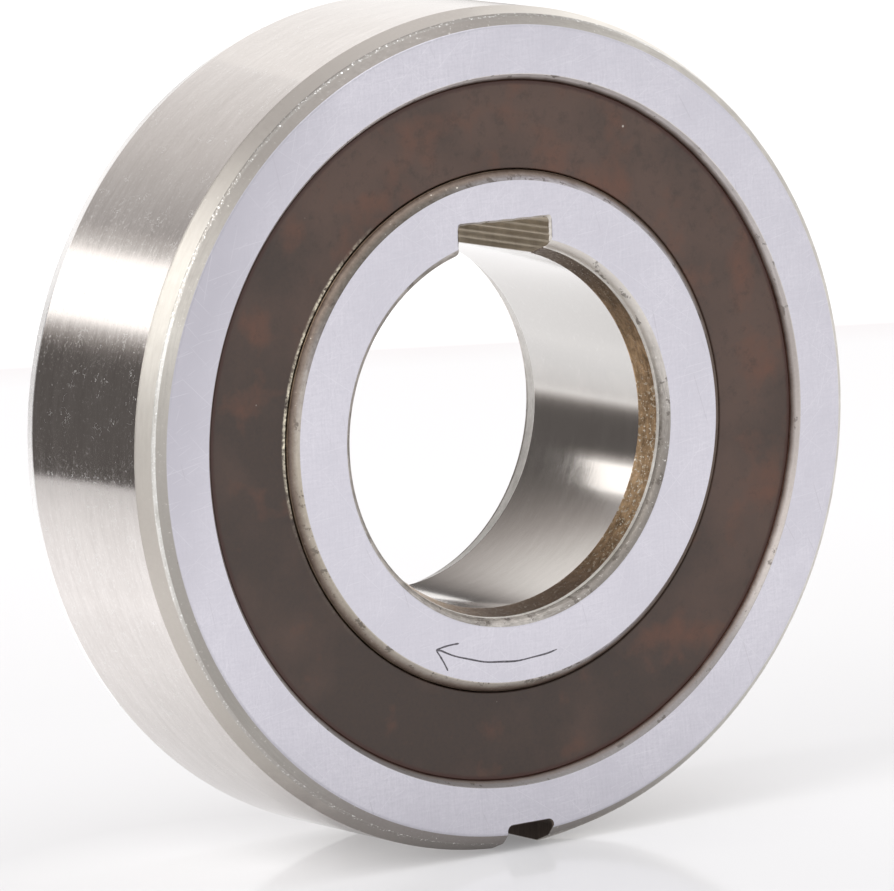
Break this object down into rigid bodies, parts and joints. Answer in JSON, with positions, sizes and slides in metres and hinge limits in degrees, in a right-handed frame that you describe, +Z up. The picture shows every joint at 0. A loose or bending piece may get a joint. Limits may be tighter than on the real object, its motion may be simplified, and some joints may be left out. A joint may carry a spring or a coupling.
{
  "type": "sprag clutch",
  "caption": "One-way sprag clutch in a ball-bearing envelope: two keyed steel rings, a ball row, a sprag row and a dark shield on each side.",
  "frame": {"origin": "centre of the clutch, on its axis, midway between its two faces", "axes": "+Y along the clutch axis from the marked front face to the rear face, +Z up with the clutch standing on its rim and the outer keyway lowest"},
  "size_m": [0.047, 0.014, 0.047],
  "materials": {
    "ring_steel": "ground bearing steel",
    "shield": "satin dark brown phenolic",
    "ball_steel": "polished bearing steel",
    "sprag_steel": "drawn and hardened steel",
    "cage_steel": "pressed steel",
    "cage_polymer": "natural polyamide",
    "spring_steel": "close-wound spring wire"
  },
  "bodies": {
    "outer": {"outer_ring": "ring_steel", "front_shield": "shield", "rear_shield": "shield", "sprag_cage": "cage_steel", "garter_spring": "spring_steel"},
    "inner": {"inner_ring": "ring_steel"},
    "balls": {"ball_cage": "cage_polymer"},
    "ball_01_body": {"ball_01": "ball_steel"},
    "ball_02_body": {"ball_02": "ball_steel"},
    "ball_03_body": {"ball_03": "ball_steel"},
    "ball_04_body": {"ball_04": "ball_steel"},
    "ball_05_body": {"ball_05": "ball_steel"},
    "ball_06_body": {"ball_06": "ball_steel"},
    "ball_07_body": {"ball_07": "ball_steel"},
    "ball_08_body": {"ball_08": "ball_steel"},
    "ball_09_body": {"ball_09": "ball_steel"},
    "ball_10_body": {"ball_10": "ball_steel"},
    "ball_11_body": {"ball_11": "ball_steel"},
    "sprag_01_body": {"sprag_01": "sprag_steel"},
    "sprag_02_body": {"sprag_02": "sprag_steel"},
    "sprag_03_body": {"sprag_03": "sprag_steel"},
    "sprag_04_body": {"sprag_04": "sprag_steel"},
    "sprag_05_body": {"sprag_05": "sprag_steel"},
    "sprag_06_body": {"sprag_06": "sprag_steel"},
    "sprag_07_body": {"sprag_07": "sprag_steel"},
    "sprag_08_body": {"sprag_08": "sprag_steel"},
    "sprag_09_body": {"sprag_09": "sprag_steel"},
    "sprag_10_body": {"sprag_10": "sprag_steel"},
    "sprag_11_body": {"sprag_11": "sprag_steel"},
    "sprag_12_body": {"sprag_12": "sprag_steel"},
    "sprag_13_body": {"sprag_13": "sprag_steel"},
    "sprag_14_body": {"sprag_14": "sprag_steel"}
  },
  "joints": [
    {"name": "inner_spin", "type": "hinge", "parent": "outer", "child": "inner", "pos_m": [0, 0, 0], "axis": [0, 1, 0], "range_deg": [0, 1170]},
    {"name": "ball_cage_orbit", "type": "hinge", "parent": "outer", "child": "balls", "pos_m": [0, 0, 0], "axis": [0, 1, 0], "range_deg": [0, 489]},
    {"name": "ball_01_roll", "type": "hinge", "parent": "balls", "child": "ball_01_body", "pos_m": [0, 0.00225, 0.0166], "axis": [0, 1, 0], "range_deg": [-3400, 0]},
    {"name": "ball_02_roll", "type": "hinge", "parent": "balls", "child": "ball_02_body", "pos_m": [-0.00897, 0.00225, 0.01396], "axis": [0, 1, 0], "range_deg": [-3400, 0]},
    {"name": "ball_03_roll", "type": "hinge", "parent": "balls", "child": "ball_03_body", "pos_m": [-0.0151, 0.00225, 0.0069], "axis": [0, 1, 0], "range_deg": [-3400, 0]},
    {"name": "ball_04_roll", "type": "hinge", "parent": "balls", "child": "ball_04_body", "pos_m": [-0.01643, 0.00225, -0.00236], "axis": [0, 1, 0], "range_deg": [-3400, 0]},
    {"name": "ball_05_roll", "type": "hinge", "parent": "balls", "child": "ball_05_body", "pos_m": [-0.01255, 0.00225, -0.01087], "axis": [0, 1, 0], "range_deg": [-3400, 0]},
    {"name": "ball_06_roll", "type": "hinge", "parent": "balls", "child": "ball_06_body", "pos_m": [-0.00468, 0.00225, -0.01593], "axis": [0, 1, 0], "range_deg": [-3400, 0]},
    {"name": "ball_07_roll", "type": "hinge", "parent": "balls", "child": "ball_07_body", "pos_m": [0.00468, 0.00225, -0.01593], "axis": [0, 1, 0], "range_deg": [-3400, 0]},
    {"name": "ball_08_roll", "type": "hinge", "parent": "balls", "child": "ball_08_body", "pos_m": [0.01255, 0.00225, -0.01087], "axis": [0, 1, 0], "range_deg": [-3400, 0]},
    {"name": "ball_09_roll", "type": "hinge", "parent": "balls", "child": "ball_09_body", "pos_m": [0.01643, 0.00225, -0.00236], "axis": [0, 1, 0], "range_deg": [-3400, 0]},
    {"name": "ball_10_roll", "type": "hinge", "parent": "balls", "child": "ball_10_body", "pos_m": [0.0151, 0.00225, 0.0069], "axis": [0, 1, 0], "range_deg": [-3400, 0]},
    {"name": "ball_11_roll", "type": "hinge", "parent": "balls", "child": "ball_11_body", "pos_m": [0.00897, 0.00225, 0.01396], "axis": [0, 1, 0], "range_deg": [-3400, 0]},
    {"name": "sprag_01_tilt", "type": "hinge", "parent": "outer", "child": "sprag_01_body", "pos_m": [0.00369, -0.0034, -0.01618], "axis": [0, -1, 0], "range_deg": [0, 5], "stiffness_Nm_per_rad": 0.002, "springref_deg": -5.73},
    {"name": "sprag_02_tilt", "type": "hinge", "parent": "outer", "child": "sprag_02_body", "pos_m": [0.01035, -0.0034, -0.01298], "axis": [0, -1, 0], "range_deg": [0, 5]},
    {"name": "sprag_03_tilt", "type": "hinge", "parent": "outer", "child": "sprag_03_body", "pos_m": [0.01496, -0.0034, -0.0072], "axis": [0, -1, 0], "range_deg": [0, 5]},
    {"name": "sprag_04_tilt", "type": "hinge", "parent": "outer", "child": "sprag_04_body", "pos_m": [0.0166, -0.0034, 0], "axis": [0, -1, 0], "range_deg": [0, 5]},
    {"name": "sprag_05_tilt", "type": "hinge", "parent": "outer", "child": "sprag_05_body", "pos_m": [0.01496, -0.0034, 0.0072], "axis": [0, -1, 0], "range_deg": [0, 5]},
    {"name": "sprag_06_tilt", "type": "hinge", "parent": "outer", "child": "sprag_06_body", "pos_m": [0.01035, -0.0034, 0.01298], "axis": [0, -1, 0], "range_deg": [0, 5]},
    {"name": "sprag_07_tilt", "type": "hinge", "parent": "outer", "child": "sprag_07_body", "pos_m": [0.00369, -0.0034, 0.01618], "axis": [0, -1, 0], "range_deg": [0, 5]},
    {"name": "sprag_08_tilt", "type": "hinge", "parent": "outer", "child": "sprag_08_body", "pos_m": [-0.00369, -0.0034, 0.01618], "axis": [0, -1, 0], "range_deg": [0, 5]},
    {"name": "sprag_09_tilt", "type": "hinge", "parent": "outer", "child": "sprag_09_body", "pos_m": [-0.01035, -0.0034, 0.01298], "axis": [0, -1, 0], "range_deg": [0, 5]},
    {"name": "sprag_10_tilt", "type": "hinge", "parent": "outer", "child": "sprag_10_body", "pos_m": [-0.01496, -0.0034, 0.0072], "axis": [0, -1, 0], "range_deg": [0, 5]},
    {"name": "sprag_11_tilt", "type": "hinge", "parent": "outer", "child": "sprag_11_body", "pos_m": [-0.0166, -0.0034, 0], "axis": [0, -1, 0], "range_deg": [0, 5]},
    {"name": "sprag_12_tilt", "type": "hinge", "parent": "outer", "child": "sprag_12_body", "pos_m": [-0.01496, -0.0034, -0.0072], "axis": [0, -1, 0], "range_deg": [0, 5]},
    {"name": "sprag_13_tilt", "type": "hinge", "parent": "outer", "child": "sprag_13_body", "pos_m": [-0.01035, -0.0034, -0.01298], "axis": [0, -1, 0], "range_deg": [0, 5]},
    {"name": "sprag_14_tilt", "type": "hinge", "parent": "outer", "child": "sprag_14_body", "pos_m": [-0.00369, -0.0034, -0.01618], "axis": [0, -1, 0], "range_deg": [0, 5]}
  ],
  "couplings": [
    {"joint": "ball_cage_orbit", "follows": "inner_spin", "ratio": 0.41633},
    {"joint": "ball_01_roll", "follows": "inner_spin", "ratio": -2.9041},
    {"joint": "ball_02_roll", "follows": "inner_spin", "ratio": -2.9041},
    {"joint": "ball_03_roll", "follows": "inner_spin", "ratio": -2.9041},
    {"joint": "ball_04_roll", "follows": "inner_spin", "ratio": -2.9041},
    {"joint": "ball_05_roll", "follows": "inner_spin", "ratio": -2.9041},
    {"joint": "ball_06_roll", "follows": "inner_spin", "ratio": -2.9041},
    {"joint": "ball_07_roll", "follows": "inner_spin", "ratio": -2.9041},
    {"joint": "ball_08_roll", "follows": "inner_spin", "ratio": -2.9041},
    {"joint": "ball_09_roll", "follows": "inner_spin", "ratio": -2.9041},
    {"joint": "ball_10_roll", "follows": "inner_spin", "ratio": -2.9041},
    {"joint": "ball_11_roll", "follows": "inner_spin", "ratio": -2.9041},
    {"joint": "sprag_02_tilt", "follows": "sprag_01_tilt", "ratio": 1},
    {"joint": "sprag_03_tilt", "follows": "sprag_01_tilt", "ratio": 1},
    {"joint": "sprag_04_tilt", "follows": "sprag_01_tilt", "ratio": 1},
    {"joint": "sprag_05_tilt", "follows": "sprag_01_tilt", "ratio": 1},
    {"joint": "sprag_06_tilt", "follows": "sprag_01_tilt", "ratio": 1},
    {"joint": "sprag_07_tilt", "follows": "sprag_01_tilt", "ratio": 1},
    {"joint": "sprag_08_tilt", "follows": "sprag_01_tilt", "ratio": 1},
    {"joint": "sprag_09_tilt", "follows": "sprag_01_tilt", "ratio": 1},
    {"joint": "sprag_10_tilt", "follows": "sprag_01_tilt", "ratio": 1},
    {"joint": "sprag_11_tilt", "follows": "sprag_01_tilt", "ratio": 1},
    {"joint": "sprag_12_tilt", "follows": "sprag_01_tilt", "ratio": 1},
    {"joint": "sprag_13_tilt", "follows": "sprag_01_tilt", "ratio": 1},
    {"joint": "sprag_14_tilt", "follows": "sprag_01_tilt", "ratio": 1}
  ]
}
